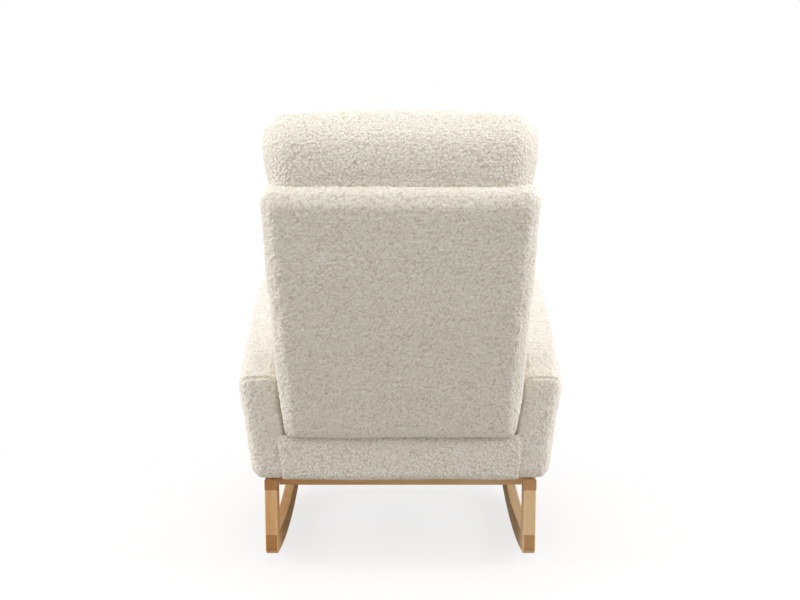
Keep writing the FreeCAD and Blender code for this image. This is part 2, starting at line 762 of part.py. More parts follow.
def leaned_point(x, depth, rise):
    lean = math.radians(BACK_LEAN)
    return BACK_ORIGIN + Vector(
        x,
        rise * math.sin(lean) - depth * math.cos(lean),
        rise * math.cos(lean) + depth * math.sin(lean),
    )


def back_side_curve():
    """The right-hand edge of the backrest: straight above the shoulder and tucked in below it."""
    top = Vector(BACK_TOP_HALF, 0, BACK_HEIGHT)
    shoulder = Vector(BACK_SHOULDER_HALF, 0, BACK_SHOULDER_HEIGHT)
    low = Vector(BACK_FOOT_HALF, 0, 0)
    slope = (top.x - shoulder.x) / (top.z - shoulder.z)
    tuck = shoulder.x - slope * BACK_SHOULDER_HEIGHT - low.x
    halfway = Vector(shoulder.x - slope * BACK_SHOULDER_HEIGHT / 2 - tuck / 4, 0, BACK_SHOULDER_HEIGHT / 2)
    return low, halfway, shoulder, top


def back_outline():
    low, halfway, shoulder, top = back_side_curve()
    other = [Vector(-point.x, 0, point.z) for point in (low, halfway, shoulder, top)]
    return Part.Wire([
        Part.Arc(low, halfway, shoulder).toShape(),
        Part.LineSegment(shoulder, top).toShape(),
        Part.LineSegment(top, other[3]).toShape(),
        Part.LineSegment(other[3], other[2]).toShape(),
        Part.Arc(other[2], other[1], other[0]).toShape(),
        Part.LineSegment(other[0], low).toShape(),
    ])


def back_cover():
    """The padded back and sides of the backrest, a tray that is open towards the sitter."""
    shell = prism(back_outline(), Vector(0, -BACK_THICKNESS, 0))

    def is_rear_or_top(edge):
        middle = edge.CenterOfMass
        joins_faces = abs(middle.y + BACK_THICKNESS / 2) < 1 and middle.z > BACK_HEIGHT - 1
        return joins_faces or (abs(middle.y) < 1 and middle.z > 1)

    def is_foot(edge):
        middle = edge.CenterOfMass
        return abs(middle.y) < 1 and middle.z < 1

    shell = round_edges(shell, BACK_EDGE_RADIUS, is_rear_or_top)
    shell = round_edges(shell, BACK_FOOT_RADIUS, is_foot)
    half = BACK_FRAME_HALF + SOFT_GAP
    tray = block(-half, half, -BACK_THICKNESS - 1, -BACK_WALL, BACK_WALL - SOFT_GAP, BACK_WALL_DEPTH)
    shell = leaned(shell.cut(tray).cut(head_panel_upright(SOFT_GAP)))
    tools = [bolt(place, Vector(1, 0, 0), back_bolt_length(place), FIT) for place in back_bolt_places()]
    return cut_all(shell, tools + [mirrored(tool) for tool in tools])


def back_bolt_places():
    """Where the backrest is bolted to the left arm, on the inner face of its stile."""
    inner = BACK_FRAME_HALF - STILE_WIDTH
    return [leaned_point(inner, BACK_BOLT_DEPTH, rise) for rise in BACK_BOLT_RISES]


def arm_panel_face(height):
    return ARM_PANEL_INNER + ARM_FLARE * (height - UNDERSIDE_HEIGHT)


def back_insert_start(place):
    sunk = (ARM_PANEL_THICKNESS - INSERT_LENGTH) / 2
    return Vector(arm_panel_face(place.z) + sunk, place.y, place.z)


def back_bolt_length(place):
    return back_insert_start(place).x + BACK_BOLT_REACH - place.x


def left_back_stile():
    outer = BACK_FRAME_HALF
    rear = BACK_FRAME_FRONT - STILE_DEPTH
    high = BACK_WALL_DEPTH - SOFT_GAP
    stile = block(outer - STILE_WIDTH, outer, -BACK_FRAME_FRONT, -rear, BACK_WALL, high)
    tools = [bolt(place, Vector(1, 0, 0), back_bolt_length(place), FIT) for place in back_bolt_places()]
    return cut_all(leaned(stile), tools)


def back_rail(low, front):
    """A board from stile to stile."""
    half = BACK_FRAME_HALF - STILE_WIDTH
    return block(-half, half, -front, BACK_RAIL_THICKNESS - front, low, low + BACK_RAIL_HEIGHT)


def back_top_rail_low():
    return BACK_WALL_DEPTH - SOFT_GAP - BACK_RAIL_HEIGHT


def back_top_rail():
    rail = back_rail(back_top_rail_low(), HEAD_PANEL_REAR)
    return leaned(cut_all(rail, head_screws_upright(FIT)))


def back_middle_rail():
    return leaned(back_rail((BACK_HEIGHT - BACK_RAIL_HEIGHT) / 2, HEAD_PANEL_REAR))


def back_bottom_rail():
    """The lowest board, level with the stiles' rear faces and clear of the bolts."""
    front = BACK_FRAME_FRONT - STILE_DEPTH + BACK_RAIL_THICKNESS
    return leaned(back_rail(BACK_WALL, front))


def back_webbing():
    """Elastic straps across the stiles."""
    reach = BACK_FRAME_HALF - STILE_WIDTH + STRAP_LAP
    low = BACK_WALL + BACK_RAIL_HEIGHT
    pitch = (back_top_rail_low() - low) / BACK_STRAPS
    made = []
    for index in range(BACK_STRAPS):
        middle = low + (index + 0.5) * pitch
        made.append(block(
            -reach, reach,
            -BACK_FRAME_FRONT - STRAP_THICKNESS, -BACK_FRAME_FRONT,
            middle - STRAP_WIDTH / 2, middle + STRAP_WIDTH / 2,
        ))
    return leaned(group(made))


def upright_cushion(width, rear, thickness, low, high, corner, crown, draw_in, roll=0):
    """A cushion standing against the backrest with its crown towards the sitter."""
    shape = cushion(width, low, high, 0, thickness, corner, crown, draw_in, roll)
    shape.rotate(Vector(0, 0, 0), Vector(1, 0, 0), 90)
    shape.translate(Vector(0, -rear, 0))
    return shape


def back_cushion_front():
    """How far in front of the backrest's rear face the cushion's crown stands."""
    return BACK_THICKNESS + SOFT_GAP + BACK_CUSHION_THICKNESS + BACK_CUSHION_CROWN


def back_cushion():
    shape = upright_cushion(
        2 * (BACK_FOOT_HALF + BACK_CUSHION_SPREAD),
        BACK_THICKNESS + SOFT_GAP,
        BACK_CUSHION_THICKNESS,
        BACK_CUSHION_START,
        BACK_HEIGHT - SOFT_GAP,
        BACK_CUSHION_CORNER,
        BACK_CUSHION_CROWN,
        BACK_CUSHION_DRAW_IN,
    )
    return leaned(shape)


# Head cushion, on a panel that is screwed to the backrest's top rail

def head_panel_upright(gap=0.0):
    half = HEAD_PANEL_HALF + gap
    return block(
        -half, half,
        -HEAD_PANEL_REAR - HEAD_PANEL_THICKNESS - gap, -HEAD_PANEL_REAR + gap,
        BACK_HEIGHT - BACK_WALL - HEAD_PANEL_TAIL - gap, BACK_HEIGHT + HEAD_PANEL_RISE + gap,
    )


def head_screws_upright(extra=0.0):
    """Countersunk screws from the front of the head panel into the top rail."""
    rearwards = Vector(0, 1, 0)
    height = BACK_HEIGHT - BACK_WALL - HEAD_PANEL_TAIL / 2
    front = -HEAD_PANEL_REAR - HEAD_PANEL_THICKNESS
    length = HEAD_PANEL_THICKNESS + SCREW_REACH
    made = []
    for share in HEAD_SCREW_SHARES:
        start = Vector(share * HEAD_PANEL_HALF, front, height)
        shank = rod(start, rearwards, SCREW_RADIUS + extra, length + extra)
        cone = Part.makeCone(2 * SCREW_RADIUS + extra, SCREW_RADIUS + extra, SCREW_RADIUS, start, rearwards)
        made.append(shank.fuse(cone))
    return made


def head_panel():
    return leaned(cut_all(head_panel_upright(), head_screws_upright(FIT)))


def head_cushion():
    """The cushion over the head panel, rolled over at the rear, flat where it stands on the backrest."""
    foot = BACK_HEIGHT + SOFT_GAP
    shape = upright_cushion(
        HEAD_WIDTH,
        HEAD_SETBACK,
        HEAD_THICKNESS,
        foot - HEAD_SINK,
        foot + HEAD_HEIGHT,
        HEAD_CORNER,
        HEAD_CROWN,
        -HEAD_TOP_RISE,
        HEAD_ROLL,
    )
    below = block(-WIDE, WIDE, -TALL, TALL, 0, foot)
    return leaned(shape.cut(below).cut(head_panel_upright(SOFT_GAP)))


# Every node of the chair

def wooden_base():
    members = cross_member_places()
    pieces = {name: cross_member(place) for name, place in members.items()}
    pieces |= {
        "frame_dowels": group(both_sides(group(dowels()))),
        "cross_bolts": group(both_sides(group(cross_bolt(place) for place in members.values()))),
        "cross_barrel_nuts": group(both_sides(group(cross_nut(place) for place in members.values()))),
        "base_bolts": group(both_sides(group(base_bolt(place) for place in base_bolt_places()))),
        "base_washers": group(both_sides(group(base_washer(place) for place in base_bolt_places()))),
        "base_barrel_nuts": group(both_sides(group(base_nut(place) for place in base_bolt_places()))),
    }
    sided = {"rocker": left_rocker(), "side_rail": left_side_rail()}
    for place, leg_rear in leg_rears().items():
        sided[place + "_leg"] = left_leg(leg_rear)
    return pieces, sided


def seat_and_arms():
    places = arm_bolt_places()
    pieces = {
        "seat_front_rail": seat_front_rail(),
        "seat_rear_rail": seat_rear_rail(),
        "seat_corner_blocks": seat_corner_blocks(),
        "seat_webbing_long": seat_webbing_long(),
        "seat_webbing_cross": seat_webbing_cross(),
        "seat_deck_pad": seat_deck_pad(),
        "seat_front_band": seat_front_band(),
        "seat_rear_band": seat_rear_band(),
        "dust_cover": dust_cover(),
        "seat_cushion": seat_cushion(),
        "arm_bolts": group(both_sides(group(bolt(p, arm_normal(), arm_bolt_length()) for p in places))),
        "arm_bolt_washers": group(both_sides(group(washer(p, arm_normal()) for p in places))),
        "arm_inserts": group(both_sides(group(insert(arm_insert_start(p), arm_normal()) for p in places))),
    }
    sided = {"arm_panel": left_arm_panel(), "arm_cover": left_arm_cover(), "seat_rail": left_seat_rail()}
    return pieces, sided


def backrest():
    places = back_bolt_places()
    across = Vector(1, 0, 0)
    pieces = {
        "back_top_rail": back_top_rail(),
        "back_middle_rail": back_middle_rail(),
        "back_bottom_rail": back_bottom_rail(),
        "back_webbing": back_webbing(),
        "back_cover": back_cover(),
        "back_cushion": back_cushion(),
        "back_bolts": group(both_sides(group(bolt(p, across, back_bolt_length(p)) for p in places))),
        "back_bolt_washers": group(both_sides(group(washer(p, across) for p in places))),
        "back_inserts": group(both_sides(group(insert(back_insert_start(p), across) for p in places))),
        "head_panel": head_panel(),
        "head_screws": leaned(group(head_screws_upright())),
        "head_cushion": head_cushion(),
    }
    return pieces, {"back_stile": left_back_stile()}


def chair():
    nodes = {}
    for pieces, sided in (wooden_base(), seat_and_arms(), backrest()):
        nodes.update(pieces)
        for name, shape in sided.items():
            nodes["left_" + name] = shape
            nodes["right_" + name] = mirrored(shape)
    return nodes


def main():
    os.makedirs("parts", exist_ok=True)
    for name, shape in chair().items():
        shape.exportStep(os.path.join("parts", name + ".step"))


main()
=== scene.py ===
"""Looks of the nursing rocking chair: cream sherpa upholstery on a light wooden rocker base."""
import itertools
from collections import namedtuple
from math import cos, pi, radians, sin, sqrt

import bmesh
import bpy
import numpy as np
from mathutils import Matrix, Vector


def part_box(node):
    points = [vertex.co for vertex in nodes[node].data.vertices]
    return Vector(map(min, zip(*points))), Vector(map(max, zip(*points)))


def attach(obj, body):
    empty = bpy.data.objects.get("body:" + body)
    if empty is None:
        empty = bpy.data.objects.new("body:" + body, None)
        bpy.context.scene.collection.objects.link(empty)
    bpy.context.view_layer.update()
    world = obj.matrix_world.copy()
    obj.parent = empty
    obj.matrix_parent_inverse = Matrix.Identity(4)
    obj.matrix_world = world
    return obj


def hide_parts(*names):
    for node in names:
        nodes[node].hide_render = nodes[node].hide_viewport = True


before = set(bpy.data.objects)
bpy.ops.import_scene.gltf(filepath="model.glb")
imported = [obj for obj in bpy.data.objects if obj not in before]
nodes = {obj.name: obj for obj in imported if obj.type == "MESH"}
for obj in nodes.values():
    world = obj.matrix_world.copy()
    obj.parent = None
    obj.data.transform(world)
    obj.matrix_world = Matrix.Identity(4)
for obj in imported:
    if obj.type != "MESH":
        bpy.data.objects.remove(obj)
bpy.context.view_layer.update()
scene = bpy.context.scene

# Camera, in metres, degrees and millimetres
CAMERA_PLACE = (0.001, 2.5317, 0.9042)
CAMERA_PITCH = 8.234
CAMERA_LENS = 50.12
SENSOR_WIDTH = 36.0

# Slopes of the frame
BACK_LEAN = radians(16)
SEAT_SLOPE = radians(5)
ARM_FRONT_RAKE = 0.026
UP_THE_BACK = np.array((0, sin(BACK_LEAN), cos(BACK_LEAN)))
BEHIND_THE_BACK = np.array((0, cos(BACK_LEAN), -sin(BACK_LEAN)))
UP_FROM_THE_SEAT = np.array((0, sin(SEAT_SLOPE), cos(SEAT_SLOPE)))
UPWARDS = np.array((0, 0, 1))
SIDEWAYS = np.array((1, 0, 0))
FORWARDS = np.array((0, -1, 0))

# Nets and swelling of the soft pieces
TRIANGLE_BUDGET = 190000
FINE_LEVELS = 2
SWELL_STEPS = 16
SWELL_PRESSURE = 4.0
SWELL_QUALITY = 4

# Head cushion: the slope and roll of its rear, its rounded corners and ends, lengths in metres
HEAD_SLOPE = 0.2
HEAD_ROLL = 0.062
HEAD_ROLL_POWER = 5.5
HEAD_CORNER = 0.04
HEAD_END = 0.06
HEAD_BULGE = 0.006
HEAD_TOP_EDGE = 0.004
HEAD_FRONT = 0.078
HEAD_CROWN = 0.008
HEAD_ROWS = 13
HEAD_TURN_STEPS = 7

# Foot of the back cover: how far it spreads, and where its edges are less rounded, in metres
FOOT_SPREAD = 0.022
FOOT_RISE = 0.26
FOOT_EDGE = 0.03
FOOT_SQUARE = 0.12
FOOT_SQUARE_SHARE = 0.75

# Pile: curls, how they are bent, and the slow unevenness under them, in metres
CURL_SIZE = 0.0056
CURL_SCATTER = 0.9
CURL_HEIGHT = 0.0019
CURL_ROUNDNESS = 0.75
CURL_MEAN = 0.45
CREVICE_WIDTH = 0.35
CREVICE_FLOOR = 0.35
WARP_SIZE = 0.005
WARP_REACH = 0.0016
WARP_SALTS = (11, 12, 13)
UNEVEN_SIZE = 0.09
UNEVEN_HEIGHT = 0.0012
UNEVEN_RATIO = 2.3
UNEVEN_SALTS = (21, 22)

# Seams, in metres and shares
SEAM_INSET = 0.007
SEAM_DEPTH = 0.0034
SEAM_WIDTH = 0.0021
SEAM_RIDGE = 0.0010
SEAM_RIDGE_PLACE = 2.4
SEAM_WANDER = 0.0009
SEAM_WANDER_SIZE = 0.02
SEAM_WANDER_SALT = 31
SEAM_BASE_STRENGTH = 0.15
SEAM_BARE_SHARE = 0.8
CUSHION_SEAM_SHARES = (0.2, 0.74)

# Factors that mix a cell's whole numbers into one that looks random
CELL_FACTORS = np.array((73856093, 19349663, 83492791))
SALT_FACTOR = 7919


def mesh_points(mesh):
    """The places of a mesh's vertices, one row each."""
    points = np.empty(len(mesh.vertices) * 3, np.float32)
    mesh.vertices.foreach_get("co", points)
    return points.reshape(-1, 3).astype(float)


def mesh_normals(mesh):
    """The directions that a mesh's vertices face, one row each."""
    normals = np.empty(len(mesh.vertices) * 3, np.float32)
    mesh.vertices.foreach_get("normal", normals)
    return normals.reshape(-1, 3).astype(float)


def set_points(mesh, points):
    """Moves a mesh's vertices to these places."""
    mesh.vertices.foreach_set("co", points.astype(np.float32).ravel())
    mesh.update()


def new_piece(name, mesh):
    """A new object in the scene with this mesh."""
    piece = bpy.data.objects.new(name, mesh)
    scene.collection.objects.link(piece)
    return piece


def node_points(*names):
    """The places of all vertices of some nodes of the frame, one row each."""
    return np.concatenate([mesh_points(nodes[name].data) for name in names])


def hull_mesh(name, points):
    """The tight outer skin around some points."""
    form = bmesh.new()
    for point in points:
        form.verts.new(point)
    skin = bmesh.ops.convex_hull(form, input=form.verts)
    inner = set(skin["geom_interior"]) | set(skin["geom_unused"])
    spare = [item for item in inner if isinstance(item, bmesh.types.BMVert)]
    bmesh.ops.delete(form, geom=spare, context="VERTS")
    mesh = bpy.data.meshes.new(name)
    form.to_mesh(mesh)
    form.free()
    return mesh


def bake(piece):
    """Turns the piece's modifiers into its mesh."""
    graph = bpy.context.evaluated_depsgraph_get()
    mesh = bpy.data.meshes.new_from_object(piece.evaluated_get(graph))
    piece.modifiers.clear()
    piece.data = mesh


def mesh_area(mesh):
    """The area of a mesh's faces."""
    return sum(face.area for face in mesh.polygons)


def cut(piece, cutter_mesh):
    """Takes the cutter's form out of the piece."""
    cutter = new_piece("cutter", cutter_mesh)
    step = piece.modifiers.new("cut", "BOOLEAN")
    step.operation = "DIFFERENCE"
    step.solver = "EXACT"
    step.object = cutter
    bake(piece)
    bpy.data.objects.remove(cutter)


def tuck(mesh, direction, end, depth):
    """Lengthens a form at its far end in this direction, so that it reaches into its neighbour."""
    points = mesh_points(mesh)
    reach = points @ direction
    at_end = reach > reach.max() - end
    set_points(mesh, points + np.outer(at_end, depth * direction))


def head_points():
    """The head cushion's front from the frame, and a rear that slopes forwards and rounds off at its ends."""
    points = node_points("head_cushion")
    above_foot = points @ UP_THE_BACK
    foot, height = above_foot.min(), np.ptp(above_foot)
    above_foot -= foot
    half = points[:, 0].max()
    near_end = (np.abs(points[:, 0]) / half) ** 3
    points -= np.outer(HEAD_CROWN * near_end * (above_foot / height) ** 2, UP_THE_BACK)
    reach = points @ BEHIND_THE_BACK
    front = reach.max() - HEAD_FRONT
    rows = [points[reach < front]]
    turn = np.linspace(0, pi / 2, HEAD_TURN_STEPS)
    for rise in np.linspace(0, height - HEAD_TOP_EDGE, HEAD_ROWS):
        rounded = max(rise - height + HEAD_CORNER, 0)
        bulge = HEAD_BULGE * sin(pi * rise / height)
        wide = half - HEAD_CORNER + sqrt(HEAD_CORNER ** 2 - rounded ** 2) + bulge
        depth = HEAD_SLOPE * rise + HEAD_ROLL * (rise / height) ** HEAD_ROLL_POWER
        across = wide - HEAD_END * (1 - np.sin(turn))
        behind = reach.max() - depth - HEAD_END * (1 - np.cos(turn))
        for side in (-1, 1):
            row = np.outer(side * across, SIDEWAYS) + np.outer(behind, BEHIND_THE_BACK)
            rows.append((row + (foot + rise) * UP_THE_BACK)[behind > front])
    return np.concatenate(rows)


def spread_back_foot(mesh):
    """Lets the padding at the back's foot press against the arms, its edges less rounded there."""
    points = mesh_points(mesh)
    rise = points @ UP_THE_BACK
    reach = points @ BEHIND_THE_BACK
    above_foot = rise - rise.min()
    share = np.clip(1 - above_foot / FOOT_RISE, 0, 1)
    points[:, 0] *= 1 + FOOT_SPREAD * np.sqrt(share)
    behind = reach.max() - reach
    square = FOOT_SQUARE_SHARE * np.clip(1 - above_foot / FOOT_SQUARE, 0, 1) * (behind < FOOT_EDGE)
    set_points(mesh, points + np.outer(square * behind, BEHIND_THE_BACK))


def even_mesh(piece, shrink):
    """Gives the piece an even net of faces, a little inside its form."""
    fine = 4 ** FINE_LEVELS
    step = piece.modifiers.new("even", "REMESH")
    step.mode = "VOXEL"
    step.voxel_size = sqrt(2 * fine * mesh_area(piece.data) / TRIANGLE_BUDGET)
    bake(piece)
    mesh = piece.data
    set_points(mesh, mesh_points(mesh) - shrink * mesh_normals(mesh))


def swell(pieces):
    """Blows up the pieces like filled cloth, each point by at most its piece's limit."""
    for piece in pieces.values():
        step = piece.modifiers.new("swell", "CLOTH")
        cloth = step.settings
        cloth.quality = SWELL_QUALITY
        cloth.use_pressure = True
        cloth.uniform_pressure_force = SWELL_PRESSURE
        cloth.effector_weights.gravity = 0
        step.collision_settings.use_collision = False
        step.collision_settings.use_self_collision = False
    for moment in range(1, SWELL_STEPS + 1):
        scene.frame_set(moment)
    graph = bpy.context.evaluated_depsgraph_get()
    swollen = {node: mesh_points(piece.evaluated_get(graph).data) for node, piece in pieces.items()}
    for node, piece in pieces.items():
        soft = SOFT_PIECES[node]
        start = mesh_points(piece.data)
        move = swollen[node] - start
        if soft.tight:
            normals = mesh_normals(piece.data)
            outwards = np.maximum(np.sum(move * normals, axis=1, keepdims=True), 0)
            move = normals * outwards
        length = np.maximum(np.linalg.norm(move, axis=1, keepdims=True), 1e-9)
        piece.modifiers.clear()
        set_points(piece.data, start + move / length * soft.limit * np.tanh(length / soft.limit))
    scene.frame_set(1)


def refine(piece):
    """Divides the piece's net into the fine one that carries the pile."""
    step = piece.modifiers.new("fine", "SUBSURF")
    step.levels = FINE_LEVELS
    step.render_levels = FINE_LEVELS
    bake(piece)


def scatter(cells, salt):
    """A number from 0 to 1 for every cell, the same in each run."""
    mixed = cells.astype(np.int64) @ CELL_FACTORS + salt * SALT_FACTOR
    mixed = ((mixed ^ (mixed >> 13)) * 1274126177) & 0x7FFFFFFF
    mixed = ((mixed ^ (mixed >> 15)) * 668265263) & 0x7FFFFFFF
    return ((mixed ^ (mixed >> 16)) & 0xFFFF) / 0xFFFF


def unevenness(points, size, salt):
    """Smooth ups and downs from -1 to 1 that repeat about every two sizes."""
    cells = np.floor(points / size)
    part = points / size - cells
    part = part * part * (3 - 2 * part)
    total = np.zeros(len(points))
    for corner in itertools.product((0, 1), repeat=3):
        weight = np.prod(np.where(np.array(corner), part, 1 - part), axis=1)
        total += weight * scatter(cells + corner, salt)
    return 2 * total - 1


def curls(points, size):
    """Distances to the nearest and the second nearest curl centre, in curl sizes."""
    places = points / size
    cells = np.floor(places)
    nearest = np.full(len(points), 9.0)
    second = np.full(len(points), 9.0)
    for offset in itertools.product((-1, 0, 1), repeat=3):
        neighbours = cells + offset
        spread = np.stack([scatter(neighbours, salt) for salt in (1, 2, 3)], axis=1)
        centres = neighbours + 0.5 + CURL_SCATTER * (spread - 0.5)
        distance = np.linalg.norm(places - centres, axis=1)
        second = np.minimum(second, np.maximum(nearest, distance))
        nearest = np.minimum(nearest, distance)
    return nearest, second


def arm_seams(points):
    """Distances from the seams round an arm's rear and front panels."""
    low, high = points.min(axis=0), points.max(axis=0)
    rear = high[1] - SEAM_INSET - points[:, 1]
    rake = ARM_FRONT_RAKE * (high[2] - points[:, 2]) / (high[2] - low[2])
    front = points[:, 1] - low[1] - rake - SEAM_INSET
    return [rear, front]


def cushion_seams(points, direction):
    """Distances from the two seams that run round a cushion's sides."""
    height = points @ direction
    low, high = height.min(), height.max()
    return [height - low - share * (high - low) for share in CUSHION_SEAM_SHARES]


def piece_seams(node, points):
    """Distances from every seam of a soft piece."""
    if node.endswith("arm_cover"):
        return arm_seams(points)
    if node == "seat_cushion":
        return cushion_seams(points, UP_FROM_THE_SEAT)
    if node == "back_cushion":
        return cushion_seams(points, -BEHIND_THE_BACK)
    return []


def sew(points, normals, distances):
    """How far the seams draw the cloth in, more on top, and how much of the pile stands beside them."""
    wander = SEAM_WANDER * unevenness(points, SEAM_WANDER_SIZE, SEAM_WANDER_SALT)
    strength = SEAM_BASE_STRENGTH + (1 - SEAM_BASE_STRENGTH) * np.clip(2 * normals[:, 2], 0, 1)
    move = np.zeros(len(points))
    left = np.ones(len(points))
    for distance in distances:
        away = (distance + wander) / SEAM_WIDTH
        pull = strength * np.exp(-away ** 2)
        ridge = strength * np.exp(-(np.abs(away) - SEAM_RIDGE_PLACE) ** 2)
        move += SEAM_RIDGE * ridge - SEAM_DEPTH * pull
        left *= 1 - SEAM_BARE_SHARE * pull
    return move, left


def grow_pile(node, piece):
    """Sews the seams, raises the sherpa's curls and keeps their height for the material, which paints low pile,
    in crevices and along seams, as shade.
    """
    mesh = piece.data
    points = mesh_points(mesh)
    normals = mesh_normals(mesh)
    seam, left = sew(points, normals, piece_seams(node, points))
    warp = np.stack([unevenness(points, WARP_SIZE, salt) for salt in WARP_SALTS], axis=1)
    nearest, second = curls(points + WARP_REACH * warp, CURL_SIZE)
    clump = np.clip(1 - nearest ** 2 / CURL_ROUNDNESS, 0, 1)
    crevice = np.clip((second - nearest) / CREVICE_WIDTH, 0, 1)
    pile = clump * (CREVICE_FLOOR + (1 - CREVICE_FLOOR) * crevice) * left
    slow = unevenness(points, UNEVEN_SIZE, UNEVEN_SALTS[0])
    slow += 0.5 * unevenness(points, UNEVEN_SIZE / UNEVEN_RATIO, UNEVEN_SALTS[1])
    height = CURL_HEIGHT * (pile - CURL_MEAN) + UNEVEN_HEIGHT * slow + seam
    set_points(mesh, points + normals * height[:, None])
    # Kept for the material, which paints low pile as crevice shade
    kept = mesh.attributes.new("pile", "FLOAT", "POINT")
    kept.data.foreach_set("value", pile.astype(np.float32))


def keep_above(piece, height):
    """Flattens what the piece would have below this height."""
    points = mesh_points(piece.data)
    points[:, 2] = np.maximum(points[:, 2], height)
    set_points(piece.data, points)


def new_material(name):
    """A material with its node tree, its surface shader and a maker of linked nodes."""
    material = bpy.data.materials.new(name)
    material.use_nodes = True
    tree = material.node_tree
    shader = tree.nodes["Principled BSDF"]

    def add(kind, links=None, **values):
        node = tree.nodes.new(kind)
        for key, value in values.items():
            if hasattr(node, key):
                setattr(node, key, value)
            else:
                node.inputs[key.replace("_", " ").title()].default_value = value
        for key, source in (links or {}).items():
            tree.links.new(source, node.inputs[key])
        return node

    return material, tree, shader, add


def ramp(node, stops):
    """Sets a colour ramp's stops, each a place and a colour."""
    elements = node.color_ramp.elements
    while len(elements) < len(stops):
        elements.new(0.5)
    for element, (place, colour) in zip(elements, stops):
        element.position = place
        element.color = (*colour, 1)


def sherpa_material():
    """Cream curled pile: small bright loops with painted shade in the creases between them, and low pile from
    the mesh painted darker as crevice shade.
    """
    material, tree, shader, add = new_material("sherpa")
    place = add("ShaderNodeTexCoord").outputs["Object"]
    pile = add("ShaderNodeAttribute", attribute_name="pile").outputs["Fac"]
    wander = add("ShaderNodeTexNoise", {"Vector": place}, scale=260, detail=1)
    twist = add("ShaderNodeVectorMath", {0: wander.outputs["Color"]}, operation="MULTIPLY_ADD")
    twist.inputs[1].default_value = (0.004, 0.004, 0.004)
    tree.links.new(place, twist.inputs[2])
    loops = add("ShaderNodeTexVoronoi", {"Vector": twist.outputs[0]}, scale=270)
    fibres = add("ShaderNodeTexNoise", {"Vector": place}, scale=600, detail=2, distortion=1.2)
    cloud = add("ShaderNodeTexNoise", {"Vector": place}, scale=14, detail=3)
    # Painted crevice shade: the loops' centres lighter, their borders darker
    raised = add("ShaderNodeMath", {0: loops.outputs["Distance"]}, operation="MULTIPLY_ADD")
    raised.inputs[1].default_value = -1.0
    raised.inputs[2].default_value = 1.0
    tufts = add("ShaderNodeMath", {0: pile, 1: raised.outputs[0]}, operation="ADD")
    tone = add("ShaderNodeMath", {0: tufts.outputs[0], 1: fibres.outputs["Fac"]}, operation="ADD")
    shade = add("ShaderNodeMath", {0: tone.outputs[0]}, operation="MULTIPLY")
    shade.inputs[1].default_value = 0.4
    colour = add("ShaderNodeValToRGB", {"Fac": shade.outputs[0]})
    ramp(colour, SHERPA_TONE_AND_CREVICE_SHADE_STOPS)
    tint = add("ShaderNodeMixRGB", {"Fac": cloud.outputs["Fac"], "Color1": colour.outputs["Color"]})
    tint.blend_type = "MULTIPLY"
    tint.inputs["Color2"].default_value = (0.97, 0.96, 0.94, 1)
    bump = add("ShaderNodeBump", {"Height": tone.outputs[0]}, strength=0.4, distance=0.0014)
    tree.links.new(tint.outputs["Color"], shader.inputs["Base Color"])
    tree.links.new(bump.outputs["Normal"], shader.inputs["Normal"])
    shader.inputs["Roughness"].default_value = 1.0
    shader.inputs["Specular IOR Level"].default_value = 0.1
    shader.inputs["Sheen Weight"].default_value = 0.2
    shader.inputs["Sheen Roughness"].default_value = 0.6
    return material


GRAIN_SCALES = {"X": (2.2, 60, 60), "Y": (60, 2.2, 60), "Z": (60, 60, 2.2)}
# End grain darker than the long grain, and darker still as painted shade on cut ends under the seat
END_GRAIN_AND_SHADE = (0.66, 0.53, 0.43, 1)
# How far the wood pales towards one side: painted light falling more on that side
PAINTED_SIDE_LIGHT_SHARE = 0.6


def wood_material(name, along, stops, side_light_tone, roughness):
    """Wood whose grain runs along one axis, darker where it is cut across, partly end grain and partly painted
    shade, and paler towards one side as painted light falling more on that side.
    """
    material, tree, shader, add = new_material(name)
    surface = add("ShaderNodeTexCoord")
    stretched = add("ShaderNodeMapping", {"Vector": surface.outputs["Object"]}, Scale=GRAIN_SCALES[along])
    bands = add("ShaderNodeTexNoise", {"Vector": stretched.outputs[0]}, scale=1.5, detail=3, distortion=1.0)
    fibres = add("ShaderNodeTexNoise", {"Vector": stretched.outputs[0]}, scale=8, detail=4)
    both = add("ShaderNodeMix", {2: bands.outputs["Fac"], 3: fibres.outputs["Fac"]})
    both.inputs[0].default_value = 0.4
    colour = add("ShaderNodeValToRGB", {"Fac": both.outputs[0]})
    ramp(colour, stops)
    facing = add("ShaderNodeSeparateXYZ", {"Vector": surface.outputs["Normal"]})
    slant = add("ShaderNodeMath", {0: facing.outputs[along]}, operation="ABSOLUTE")
    cross = add("ShaderNodeMapRange", {"Value": slant.outputs[0]})
    cross.inputs["From Min"].default_value = 0.75
    cross.inputs["From Max"].default_value = 0.95
    side = add("ShaderNodeSeparateXYZ", {"Vector": surface.outputs["Object"]})
    # Painted side light: the wood grows paler towards negative X, the side that took more light
    pale = add("ShaderNodeMapRange", {"Value": side.outputs["X"]}, interpolation_type="SMOOTHSTEP")
    pale.inputs["From Min"].default_value = 0.3
    pale.inputs["From Max"].default_value = -0.3
    pale.inputs["To Max"].default_value = PAINTED_SIDE_LIGHT_SHARE
    board = add("ShaderNodeMixRGB", {"Fac": pale.outputs[0], "Color1": colour.outputs["Color"]})
    board.inputs["Color2"].default_value = (*side_light_tone, 1)
    # Darkens faces cut across the grain: end grain with painted shade in it
    tint = add("ShaderNodeMixRGB", {"Fac": cross.outputs[0], "Color1": board.outputs["Color"]})
    tint.blend_type = "MULTIPLY"
    tint.inputs["Color2"].default_value = END_GRAIN_AND_SHADE
    bump = add("ShaderNodeBump", {"Height": fibres.outputs["Fac"]}, strength=0.15, distance=0.0006)
    tree.links.new(tint.outputs["Color"], shader.inputs["Base Color"])
    tree.links.new(bump.outputs["Normal"], shader.inputs["Normal"])
    shader.inputs["Roughness"].default_value = roughness
    shader.inputs["Specular IOR Level"].default_value = 0.22
    return material


